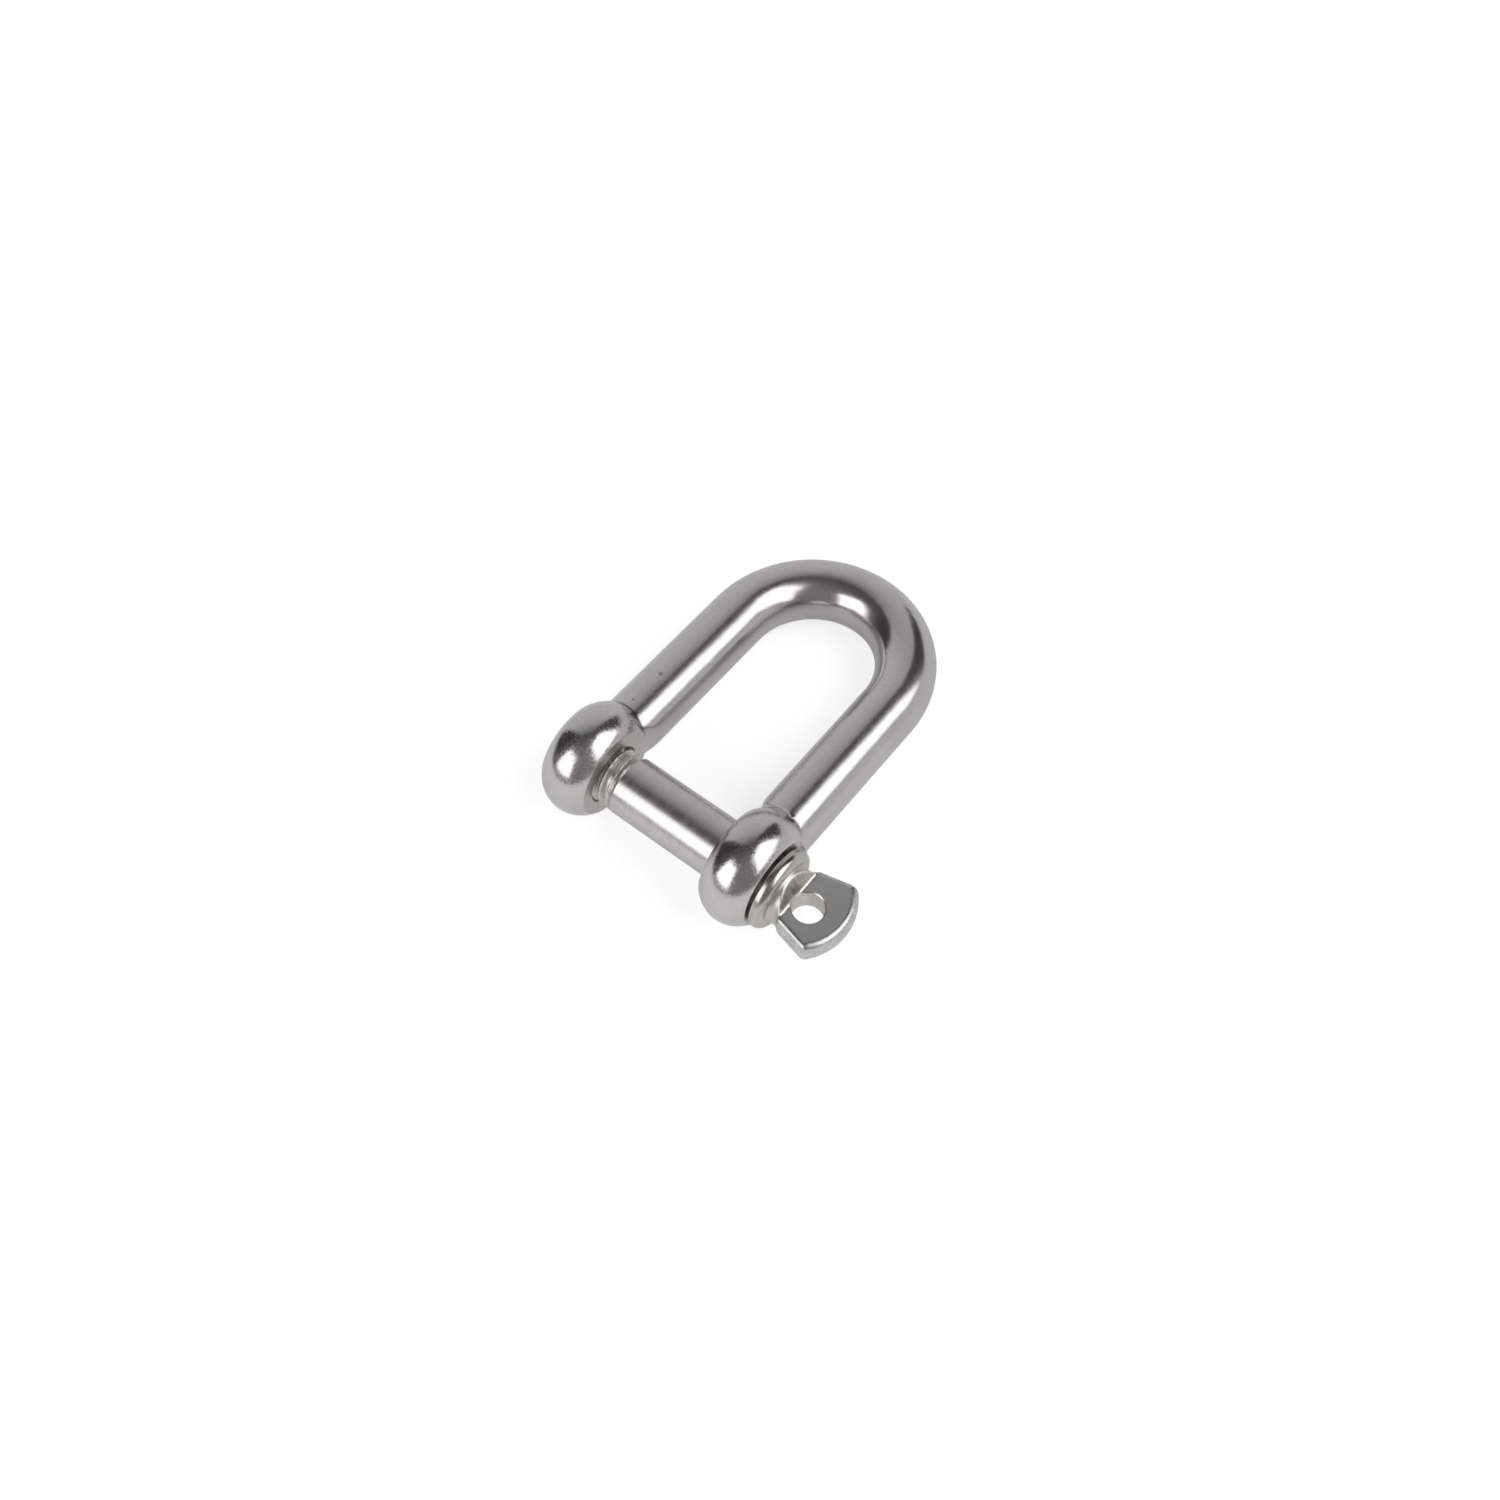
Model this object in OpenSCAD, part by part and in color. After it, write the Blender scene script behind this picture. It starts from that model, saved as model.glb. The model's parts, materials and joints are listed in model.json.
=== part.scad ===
// D shackle with a screw pin, lying on its two eyes and its bow.
// Origin: on the pin's axis, midway between the two eyes.
// +X runs along the pin towards its head, +Y towards the bow, +Z up.

/* [Bar] */
// Diameter of the round bar
rod_d = 10; // [6:0.5:14]
// Clear width between the two legs
inside_w = 20; // [14:0.5:36]
// From the pin's axis to the inside of the bow
inside_l = 47; // [34:0.5:90]

/* [Eyes] */
// Outer diameter of an eye
eye_d = 19; // [17:0.25:24]
// Thickness of an eye between its flat faces
eye_t = 8.5; // [6:0.25:10]
// Radius of the rounded rim of an eye
eye_rim_r = 5.4; // [5.2:0.1:7]
// How far the inner face of an eye lies behind the leg's inner side
eye_inset = 1.15; // [0.4:0.05:2]
// How far the round of an eye lies from the pin's axis, towards the bow
eye_rise = 0.4; // [0:0.1:1]
// Depth of the countersink at each mouth of the holes
eye_sink = 0.4; // [0.1:0.05:0.8]
// Width of the seat cut around the collar
seat_margin = 0.5; // [0.2:0.1:1.5]

/* [Pin] */
// Diameter of the plain shank
pin_d = 9.75; // [7:0.25:11]
// Radial clearance of the shank in the plain eye
pin_clear = 0.25; // [0.1:0.05:0.5]
// How much smaller the thread is than the shank, across the diameter
thread_under = 0.15; // [0.05:0.05:1]
// Pitch of the thread
thread_pitch = 1.5; // [0.75:0.25:2]
// Depth of the thread
thread_depth = 0.9; // [0.4:0.1:1.2]
// Width of the flat on the thread's crest
thread_crest = 0.15; // [0.05:0.05:0.2]
// Width of the flat at the thread's root
thread_root = 0.3; // [0.1:0.05:0.4]
// Radial clearance of the thread in the tapped eye
thread_clear = 0.1; // [0.05:0.05:0.3]
// Length of thread that shows inside the tapped eye
thread_show = 2.9; // [1:0.1:8]
// How far the end of the pin stands out of the tapped eye
tip_out = 0.8; // [0:0.1:3]
// Chamfer at the end of the shank
shank_chamfer = 0.4; // [0.1:0.1:0.8]

/* [Head] */
// Gap between the plain eye and the collar
collar_gap = 0.3; // [0.1:0.05:1]
// Diameter of the collar
collar_d = 13.6; // [12:0.1:17]
// Thickness of the collar, whose rim is a half round
collar_t = 2.1; // [1:0.1:4]
// Diameter of the neck between collar and head
neck_d = 9.8; // [7.4:0.1:10.2]
// Radius of the groove that makes the neck
neck_r = 1.2; // [0.8:0.1:2]
// Depth of that groove from the neck to its ends
neck_depth = 0.5; // [0.2:0.05:1]
// Diameter of the blank where the flats begin
flare_d = 10.8; // [10:0.1:12]
// Widest diameter of the blank
head_d = 13.7; // [12:0.1:18]
// From where the flats begin to the widest place
head_l = 6.2; // [5:0.1:12]
// Height of the domed end
dome_h = 2.8; // [1:0.1:6]
// Thickness of the head between its flats
tab_t = 4.2; // [2:0.1:6]
// Slope of the milled step behind the flats, from the flats
step_slope = 63; // [55:1:80]
// Diameter of the hole in the head
tab_hole_d = 5; // [3:0.1:6]
// From where the flats begin to the hole's centre
tab_hole_x = 2.6; // [1:0.1:5]
// From the pin's axis to the hole's centre, away from the bow
tab_hole_off = 0.8; // [0:0.1:1.2]

/* [Hidden] */
$fn = 96;

rod_r = rod_d / 2;
bend_r = inside_w / 2 + rod_r;
leg_l = inside_l + rod_r - bend_r;
eye_in_x = inside_w / 2 + eye_inset;
eye_mid_x = eye_in_x + eye_t / 2;
eye_out_x = eye_in_x + eye_t;
rim_centre = eye_d / 2 - eye_rim_r;

pin_r = pin_d / 2;
thread_r = pin_r - thread_under / 2;
plain_bore_r = pin_r + pin_clear;
tapped_bore_r = thread_r + thread_clear;
seat_r = collar_d / 2 + seat_margin;

shank_x = -eye_in_x + thread_show;
tip_x = -eye_out_x - tip_out;
collar_x = eye_out_x + collar_gap;
neck_l = 2 * sqrt(neck_r * neck_r - pow(neck_r - neck_depth, 2));
flare_x = collar_x + collar_t + neck_l;
widest_x = flare_x + head_l;
end_x = widest_x + dome_h;
dome_r = (pow(head_d / 2, 2) + dome_h * dome_h) / (2 * dome_h);

// The bow lies lower than the pin, because the eyes are thicker than the bar
lie = asin((eye_d / 2 - rod_r) / (leg_l + bend_r - eye_rise));
// Cutters run this far past what they cut
past = 1;

steel = [0.72, 0.72, 0.73];
bright_steel = [0.78, 0.78, 0.79];

// Turns a piece from the plane of the D to the way the shackle lies
module lying() {
    rotate([-lie, 0, 0]) children();
}

// A shape turned about Z is laid along the pin's axis, +Z becoming +X
module along_pin() {
    rotate([0, 90, 0]) children();
}

// Thick disc with a round rim and two flat faces, centred on its axis
module eye_disc() {
    rotate_extrude() intersection() {
        union() {
            translate([rim_centre, 0]) circle(eye_rim_r);
            translate([0, -eye_t / 2]) square([rim_centre, eye_t]);
        }
        translate([0, -eye_t / 2]) square([eye_d, eye_t]);
    }
}

// Hole along the pin through one eye, countersunk at both mouths and clear of the leg beside it
module eye_hole(r) {
    mouth_r = r + eye_sink;
    cylinder(h = eye_t, r = r, center = true);
    for (turn = [0, 180]) {
        rotate([turn, 0, 0]) translate([0, 0, eye_t / 2]) {
            translate([0, 0, -eye_sink]) cylinder(h = eye_sink, r1 = r, r2 = mouth_r);
            cylinder(h = eye_inset + past, r = mouth_r);
        }
    }
}

// Bar bent to a D with an eye at each end
module shackle_body() {
    color(steel) lying() difference() {
        union() {
            translate([0, leg_l, 0]) rotate_extrude(angle = 180) translate([bend_r, 0]) circle(rod_r);
            for (s = [-1, 1]) {
                translate([s * bend_r, 0, 0]) rotate([-90, 0, 0]) cylinder(h = leg_l, r = rod_r);
                translate([s * eye_mid_x, eye_rise, 0]) along_pin() eye_disc();
            }
        }
        translate([-eye_mid_x, 0, 0]) along_pin() eye_hole(tapped_bore_r);
        translate([eye_mid_x, 0, 0]) along_pin() eye_hole(plain_bore_r);
        for (s = [-1, 1]) {
            translate([s * (eye_out_x + rod_r / 2), 0, 0]) along_pin()
                cylinder(h = rod_r, r = seat_r, center = true);
        }
    }
}

// Half section of the threaded end: one ridge for each pitch, from the tip to the shank
module thread_section() {
    length = shank_x - tip_x;
    turns = floor(length / thread_pitch);
    start = length - turns * thread_pitch;
    root_r = thread_r - thread_depth;
    ridge = [
        [root_r, thread_root / 2],
        [thread_r, (thread_pitch - thread_crest) / 2],
        [thread_r, (thread_pitch + thread_crest) / 2],
        [root_r, thread_pitch - thread_root / 2]
    ];
    polygon(concat(
        [[0, 0], [root_r, 0]],
        [for (i = [0 : turns - 1]) for (p = ridge) [p[0], start + i * thread_pitch + p[1]]],
        [[root_r, length], [0, length]]
    ));
}

// Shank and thread, turned about the pin's axis
module shank() {
    translate([tip_x, 0, 0]) along_pin() rotate_extrude() thread_section();
    translate([shank_x, 0, 0]) along_pin() {
        cylinder(h = shank_chamfer, r1 = pin_r - shank_chamfer, r2 = pin_r);
        translate([0, 0, shank_chamfer]) cylinder(h = collar_x - shank_x - shank_chamfer, r = pin_r);
    }
}

// Half section of the blank that the head is milled from, with a core that runs on from collar to head
module head_section() {
    translate([0, collar_x]) square([neck_d / 2, collar_t + neck_l + past]);
    translate([0, collar_x]) {
        square([(collar_d - collar_t) / 2, collar_t]);
        translate([(collar_d - collar_t) / 2, collar_t / 2]) circle(collar_t / 2);
    }
    difference() {
        translate([0, collar_x + collar_t]) square([neck_d / 2 + neck_r, neck_l]);
        translate([neck_d / 2 + neck_r, collar_x + collar_t + neck_l / 2]) circle(neck_r);
    }
    intersection() {
        polygon([
            [0, flare_x], [flare_d / 2, flare_x], [head_d / 2, widest_x], [head_d / 2, end_x], [0, end_x]
        ]);
        translate([0, end_x - dome_r]) circle(dome_r);
    }
}

// Cutter for one flat of the head, with the sloping step behind it
module flat_cutter() {
    step_x = flare_x - (flare_d - tab_t) / 2 / tan(step_slope);
    rotate([90, 0, 0]) linear_extrude(height = 2 * head_d, center = true) polygon([
        [flare_x, tab_t / 2], [step_x, flare_d / 2], [step_x, head_d],
        [end_x + past, head_d], [end_x + past, tab_t / 2]
    ]);
}

// Screw pin in one piece: thread, shank, collar, neck and flat head with a hole
module screw_pin() {
    color(bright_steel) lying() {
        shank();
        difference() {
            along_pin() rotate_extrude() head_section();
            flat_cutter();
            mirror([0, 0, 1]) flat_cutter();
            translate([flare_x + tab_hole_x, -tab_hole_off, 0])
                cylinder(h = head_d, d = tab_hole_d, center = true);
        }
    }
}

shackle_body();
screw_pin();
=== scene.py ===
import json

import bmesh
import bpy
import numpy as np
from mathutils import Matrix, Vector

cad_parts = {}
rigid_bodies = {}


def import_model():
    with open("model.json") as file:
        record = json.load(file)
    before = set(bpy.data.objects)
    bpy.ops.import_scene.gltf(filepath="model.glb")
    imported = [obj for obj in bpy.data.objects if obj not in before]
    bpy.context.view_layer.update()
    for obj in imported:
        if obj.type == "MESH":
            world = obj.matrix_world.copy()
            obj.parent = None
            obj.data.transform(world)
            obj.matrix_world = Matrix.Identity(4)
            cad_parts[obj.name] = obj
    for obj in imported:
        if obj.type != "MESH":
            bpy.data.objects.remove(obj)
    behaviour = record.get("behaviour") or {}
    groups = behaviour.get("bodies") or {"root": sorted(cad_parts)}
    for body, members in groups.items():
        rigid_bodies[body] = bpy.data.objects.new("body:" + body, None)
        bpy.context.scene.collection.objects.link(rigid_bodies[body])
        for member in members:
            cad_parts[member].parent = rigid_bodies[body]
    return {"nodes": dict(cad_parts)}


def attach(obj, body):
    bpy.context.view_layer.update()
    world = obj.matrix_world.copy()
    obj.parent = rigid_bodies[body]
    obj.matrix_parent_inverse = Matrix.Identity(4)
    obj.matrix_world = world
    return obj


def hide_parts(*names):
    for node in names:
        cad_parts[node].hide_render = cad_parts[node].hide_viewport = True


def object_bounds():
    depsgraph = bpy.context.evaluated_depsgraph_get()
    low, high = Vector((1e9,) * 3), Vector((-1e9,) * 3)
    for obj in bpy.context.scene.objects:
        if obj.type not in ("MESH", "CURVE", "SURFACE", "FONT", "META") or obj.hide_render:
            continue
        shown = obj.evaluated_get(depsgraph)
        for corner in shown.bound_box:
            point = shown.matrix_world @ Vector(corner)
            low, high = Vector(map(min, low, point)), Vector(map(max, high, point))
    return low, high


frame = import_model()
cadLow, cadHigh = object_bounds()
print("frame loaded:", ", ".join(sorted(frame["nodes"])))

# Sizes are millimetres in the plane of the D: x along the pin towards its head, y towards the bow, z up.
mm = 0.001
hair = 0.01        # a length too small to show
weld = 0.002       # points closer together than this become one
farReach = 12.0    # past every skin that a ray looks for
halvings = 36      # of the span in which that skin lies


def ease(value, low, high):
    # 0 below low, 1 above high, and a smooth S between them.
    t = np.clip((value - low) / (high - low), 0, 1)
    return t * t * (3 - 2 * t)


def smoothLarger(a, b, width):
    # The larger of two values, with a smooth bend where they come within a width of each other.
    return np.maximum(a, b) + np.maximum(width - np.abs(a - b), 0) ** 2 / (4 * width)


def roundedInside(distances, edge):
    # Signed distance to the shape that lies inside all the given ones, its edges rounded to a radius:
    # each shape is drawn in by the radius, and the result is grown out again by it.
    drawnIn = np.stack(np.broadcast_arrays(*distances)) + edge
    return np.minimum(drawnIn.max(0), 0) + np.linalg.norm(np.maximum(drawnIn, 0), axis=0) - edge


def rayReach(field, origin, direction):
    # How far each ray runs inside a shape before its field turns positive, found by halving the span.
    near = np.zeros(direction.shape[:-1])
    beyond = np.full(direction.shape[:-1], farReach)
    for _ in range(halvings):
        middle = (near + beyond) / 2
        inside = field(origin + middle[..., None] * direction) < 0
        near = np.where(inside, middle, near)
        beyond = np.where(inside, beyond, middle)
    return (near + beyond) / 2


thread = {
    "pitch": 1.5,         # M10 coarse
    "crest": 0.16,        # flat on a ridge
    "root": 0.26,         # flat in a groove
    "eased": 0.4,         # how much of a smooth S is mixed into the flanks
}


def ridgeHeight(along, turns):
    # 0 in a thread's groove and 1 on its ridge: a triangle wave along the axis that moves on by one pitch
    # a turn, with both tips cut flat and the corners eased.
    pitch = thread["pitch"]
    fromGroove = np.abs((along / pitch + turns) % 1.0 * 2 - 1) * pitch / 2
    flank = (pitch - thread["crest"] - thread["root"]) / 2
    height = np.clip((fromGroove - thread["root"] / 2) / flank, 0, 1)
    return (1 - thread["eased"]) * height + thread["eased"] * ease(height, 0, 1)


bar = {
    "radius": 5.0,        # round bar
    "legX": 15.0,         # from the middle to a leg's axis
    "legLength": 36.3,    # from the pin's axis to the start of the bow
    "bowDepth": 15.8,     # from there to the top of the bow's axis
    "fillet": 1.3,        # blend of a leg into its eye
    "filletLimit": 1.2,   # it stands out from the bar by this many fillets at most
    "creased": ((-0.95, 1.0), (0.1, 0.85)),  # where the left leg and the right have a crease instead:
                          # a span across the leg, from -1 on its inner side to 1 on its outer side
    "creaseFade": 0.3,    # part of that span in which the crease comes and goes
    "creaseFrom": (2.0, 4.0),  # the painted shade in the crease comes in over this stretch from the pin's axis
    "crease": 0.2,        # width of the dark line of painted shade in the crease
    "planedFrom": 11.0,   # below this the inner side slopes down to the eye's flat face
    "planedTo": 5.5,
    "planedUnder": 1.0,   # and runs on under it
    "planedEdge": 0.5,    # rounded edge between the slope and the bar
    "skinUnder": 0.03,    # past its blend the leg keeps this far under the eye's skin
    "blendY": 12.0,       # above this the leg is plain
    "endCore": 0.04,      # share of the radius that is left to the fan at the leg's end
    "endPasses": 6,       # times that the end's place and its radius are worked out in turn
    "sharpAngle": 24,     # degrees, past which an edge of the body's skin stays sharp
    "columns": 112,       # points round the bar
    "endRows": 9,
    "blendRows": 64,
    "legRows": 22,
    "bowRows": 84,
}
eye = {
    "middleX": 15.4,      # from the middle to an eye's middle
    "thickness": 8.5,
    "radius": 9.5,
    "rimRadius": 5.4,     # round of the rim, seen in section
    "edge": 0.4,          # rounded edge between rim and flat face
    "rise": 0.4,          # the round lies this far from the pin's axis, towards the bow
    "sink": 0.2,          # countersink at each mouth of the holes
    "plainBore": 5.125,
    "tappedBore": 4.9,
    "grooveDepth": 0.4,   # thread grooves, cut outwards from the tapped bore
    "legSeat": 5.65,      # the leg ends this far from the pin's axis
    "collarSeat": 7.3,    # and this far on its outer side, to clear the collar
    "seatWidens": (1.2, 0.3),  # between these depths under the outer face
    "seatLeast": 1.0,     # the end comes no nearer to the pin's axis
    "columns": 168,
    "edgeRows": 9,
    "rimRows": 56,
    "threadRows": 120,
}
halfEye = eye["thickness"] / 2
rimCentre = eye["radius"] - eye["rimRadius"]
# The eyes are thicker than the bar, so the shackle lies with its bow lower than its pin.
lie = np.arcsin((eye["radius"] - bar["radius"]) / (bar["legLength"] + bar["bowDepth"] - eye["rise"]))


def lay(points):
    # From the plane of the D to the way the shackle lies, and from millimetres to metres.
    x, y, z = np.moveaxis(points, -1, 0)
    c, s = np.cos(lie), np.sin(lie)
    return np.stack([x, y * c + z * s, z * c - y * s], -1) * mm


def unlay(points):
    # The way back, from metres as the shackle lies to millimetres in the plane of the D.
    x, y, z = np.moveaxis(points / mm, -1, 0)
    c, s = np.cos(lie), np.sin(lie)
    return np.stack([x, y * c - z * s, z * c + y * s], -1)


def eyeField(points):
    # An eye without its hole: a ring of round section filled in to its middle, between two flat faces.
    x, y, z = np.moveaxis(points, -1, 0)
    fromRing = np.maximum(np.hypot(y - eye["rise"], z) - rimCentre, 0)
    return roundedInside([np.hypot(fromRing, x) - eye["rimRadius"], np.abs(x) - halfEye], eye["edge"])


def legField(points):
    # Round bar, planed on its inner side by a face that slopes down to the eye's flat one.
    x, y, z = np.moveaxis(points, -1, 0)
    planed = eye["middleX"] - halfEye - bar["legX"] + bar["radius"] + bar["planedUnder"]
    face = bar["radius"] - planed * (1 - ease(y, bar["planedTo"], bar["planedFrom"]))
    return smoothLarger(np.hypot(x, z) - bar["radius"], -x - face, bar["planedEdge"])


def creasedSpan(outward, low, high):
    # 1 inside a span across the leg, 0 outside it, with a smooth S at both ends.
    fade = bar["creaseFade"]
    return ease(outward, low, low + fade) * (1 - ease(outward, high - fade, high))


def legRadius(y, turn, span):
    # The leg's radius along each ray from its axis. It runs plain into the eye where they have a crease.
    # Elsewhere it blends with the eye: the larger of bar and eye, with a smooth step between them, kept
    # just under the eye's skin once it is past the blend.
    width = bar["fillet"]
    origin = np.stack(np.broadcast_arrays(0.0, y, 0.0 * turn), -1)
    direction = np.stack(np.broadcast_arrays(np.cos(turn), 0.0 * y, np.sin(turn)), -1)
    barReach = rayReach(legField, origin, direction)
    eyeReach = rayReach(eyeField, origin + [bar["legX"] - eye["middleX"], 0, 0], direction)
    under = bar["skinUnder"] * ease(eyeReach - barReach, -width, width)
    blended = smoothLarger(eyeReach, barReach, width) - under
    blended = np.minimum(blended, barReach + bar["filletLimit"] * width)
    return barReach + (blended - barReach) * (1 - creasedSpan(np.cos(turn), *span))


def legEnd(x, z):
    # The leg ends in a hollow round the pin's axis, wider on its outer side, where the collar turns: y on
    # a circle about that axis, at a height z.
    outerFace = eye["middleX"] + halfEye
    deep, shallow = eye["seatWidens"]
    outer = ease(x, outerFace - deep, outerFace - shallow)
    seat = eye["legSeat"] + (eye["collarSeat"] - eye["legSeat"]) * outer
    return np.sqrt(np.maximum(seat ** 2 - z ** 2, eye["seatLeast"] ** 2))


def legGrid(turn, span):
    # Rings up the right leg, from its end in the eye to the start of the bow.
    outward, upward = np.cos(turn), np.sin(turn)
    endRadius = np.full(turn.shape, bar["radius"])
    for _ in range(bar["endPasses"]):
        endY = legEnd(bar["legX"] + endRadius * outward, endRadius * upward)
        endRadius = legRadius(endY, turn, span)
    inwards = np.linspace(bar["endCore"], 1, bar["endRows"], endpoint=False)[:, None] * endRadius
    capY = legEnd(bar["legX"] + inwards * outward, inwards * upward)
    blendY = endY + (bar["blendY"] - endY) * np.linspace(0, 1, bar["blendRows"])[:, None]
    plainY = np.linspace(bar["blendY"], bar["legLength"], bar["legRows"])[1:-1, None] + 0 * turn
    plain = np.full(plainY.shape, bar["radius"])
    radius = np.vstack([inwards, legRadius(blendY, turn, span), plain])
    y = np.vstack([capY, blendY, plainY])
    return np.stack([bar["legX"] + radius * outward, y, radius * upward], -1)


def barGrid():
    # Rings round the bar's path: up the left leg, round half an ellipse for the bow and down the right leg.
    # Each ring is turned so that its first point faces out of the D.
    turn = np.linspace(0, 2 * np.pi, bar["columns"], endpoint=False)
    outward, upward = np.cos(turn), np.sin(turn)
    left, right = (legGrid(turn, span) for span in bar["creased"])
    bend = np.linspace(0, np.pi, bar["bowRows"])[:, None]
    outX, outY = -bar["bowDepth"] * np.cos(bend), bar["legX"] * np.sin(bend)
    out = bar["radius"] * outward / np.hypot(outX, outY)
    bowX = -bar["legX"] * np.cos(bend) + out * outX
    bowY = bar["legLength"] + bar["bowDepth"] * np.sin(bend) + out * outY
    bow = np.stack(np.broadcast_arrays(bowX, bowY, bar["radius"] * upward), -1)
    return np.vstack([left * [-1, 1, 1], bow, right[::-1]])


def eyeGrid(side, bore, threaded):
    # An eye turned about the pin: flat face, rounded edge, round rim, rounded edge, flat face, then back
    # through the countersunk hole. The tapped hole's wall has a helical groove.
    around = np.linspace(0, 2 * np.pi, eye["columns"], endpoint=False)
    edgeCentreX = halfEye - eye["edge"]
    edgeCentre = rimCentre + np.sqrt((eye["rimRadius"] - eye["edge"]) ** 2 - edgeCentreX ** 2)
    corner = np.arctan2(edgeCentreX, edgeCentre - rimCentre)
    edge = np.linspace(corner, np.pi / 2, eye["edgeRows"])
    rim = np.linspace(-corner, corner, eye["rimRows"])[1:-1]
    angle = np.concatenate([-edge[::-1], rim, edge])
    onRim = np.abs(angle) < corner
    size = np.where(onRim, eye["rimRadius"], eye["edge"])
    outX = np.where(onRim, 0, np.sign(angle) * edgeCentreX) + size * np.sin(angle)
    outRadius = np.where(onRim, rimCentre, edgeCentre) + size * np.cos(angle)
    wallEnd = halfEye - eye["sink"]
    wallX = np.linspace(wallEnd, -wallEnd, eye["threadRows"] if threaded else 2)
    wall = np.full(len(wallX), bore)
    mouth = bore + eye["sink"]
    x = np.concatenate([[-halfEye], outX, [halfEye], wallX])[:, None]
    radius = np.concatenate([[mouth], outRadius, [mouth], wall])[:, None] + 0 * around
    if threaded:
        groove = 1 - ridgeHeight(wallX[:, None], -around / (2 * np.pi))
        radius[-len(wallX):] += eye["grooveDepth"] * groove
    rise = np.concatenate([[0], np.full(len(outX), eye["rise"]), np.zeros(1 + len(wallX))])[:, None]
    y, z = rise + radius * np.cos(around), radius * np.sin(around)
    return np.stack(np.broadcast_arrays(side * eye["middleX"] + x, y, z), -1)


def creaseShade(points):
    # 1 in the sharp corner between a leg and its eye, where a dark line of painted shade goes, falling off
    # as a bell curve with the distance from both skins, and gone on the sides where they blend.
    x, y, z = np.moveaxis(points, -1, 0)
    out = np.abs(x) - bar["legX"]
    fromLeg = legField(np.stack([out, y, z], -1))
    fromEye = eyeField(np.stack([np.abs(x) - eye["middleX"], y, z], -1))
    across = out / (np.hypot(out, z) + hair)
    left, right = (creasedSpan(across, *span) for span in bar["creased"])
    sharp = np.where(x < 0, left, right) * ease(y, *bar["creaseFrom"])
    return sharp * np.exp(-(fromLeg ** 2 + fromEye ** 2) / bar["crease"] ** 2)


pin = {
    "radius": 4.875,      # plain shank
    "tipX": -20.45,
    "tipRadius": 3.55,    # flat end inside the chamfer
    "shankX": -8.25,      # end of the thread
    "threadRadius": 4.8,
    "threadDepth": 0.9,
    "chamfer": 0.4,
    "sharpAngle": 32,     # degrees, past which an edge of the pin's skin stays sharp
    "columns": 232,
    "corner": 73.0,       # degrees from straight above to the head's edges, where columns crowd
    "cornerSpan": 8.0,    # degrees
    "cornerCrowd": 2.2,   # how many more columns there are, for each one elsewhere
    "turnSteps": 2001,    # steps in which the columns are shared out
    "threadRows": 190,
    "shankRows": 12,
}
head = {
    "collarX": 19.95,     # inner face of the collar
    "collarRadius": 6.8,
    "collarThickness": 2.1,
    "collarInner": 0.45,  # round of the collar's edge towards the eye
    "collarOuter": 1.4,   # and towards the head
    "neckFrom": 0.001,    # the neck starts this far outside the collar
    "neckRadius": 4.9,    # waist of the neck
    "neckGroove": 1.2,    # radius of its groove
    "neckPast": 0.3,      # the groove's round is followed this far past where the flats begin
    "flareRadius": 5.4,   # blank where the flats begin
    "flareEdge": 1.3,     # how far the corner there is rounded over
    "widestRadius": 6.85,
    "flareLength": 6.2,   # from there to the widest place
    "domeHeight": 2.8,
    "tabThickness": 4.2,
    "stepSlope": np.radians(63.0),  # of the milled step, from the flats
    "stepFillet": 0.4,    # hollow corner at the foot of the step
    "stepEdge": 0.2,      # edge rounding at the milled step
    "sideEdge": 0.55,     # along the sides of the flat head
    "sideEdgeOver": (0.1, 1.0),  # it sets in from before the flats begin to after it
    "endEdge": 0.48,      # round its domed end
    "endEdgeOver": (2.0, 0.6),   # it sets in from before the widest place to before the end
    "endLean": 1.7,       # the domed end is this much more curved across the flats
    "endCore": 0.03,      # radians, left to the fan at the middle of the domed end
    "endHalvings": 24,    # of the span in which the end's edge lies
    "edgeSpan": 0.09,     # radians on each side of that edge that have closer rows
    "holeRadius": 2.5,
    "holeAlong": 2.6,     # from where the flats begin to the hole's centre
    "holeAside": -0.8,    # it was drilled a little to one side
    "holeBreak": 0.18,    # broken edge of the hole
    "drillPast": 0.1,     # the drill's cone runs on this far past the flats
    "drillReach": 7.0,
    "edgeHighlightWidth": 0.15,     # width of the painted highlight along the top of the step
    "edgeHighlightEnds": (0.2, 0.3),  # lengths in which it comes at the neck and goes at the flats
    "collarRows": (13, 21),
    "stepRows": 52,
    "flareRows": 16,
    "sideRows": 30,
    "edgeRows": 26,
    "domeRows": 42,
    "holeColumns": 96,
}
threadEnd = pin["shankX"] + pin["chamfer"]
neckStart = head["collarX"] + head["collarThickness"]
neckDepth = head["flareRadius"] - head["neckRadius"]
neckHalf = np.sqrt(head["neckGroove"] ** 2 - (head["neckGroove"] - neckDepth) ** 2)
flareX = neckStart + 2 * neckHalf
widestX = flareX + head["flareLength"]
endX = widestX + head["domeHeight"]
domeRadius = (head["widestRadius"] ** 2 + head["domeHeight"] ** 2) / (2 * head["domeHeight"])
halfTab = head["tabThickness"] / 2


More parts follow.
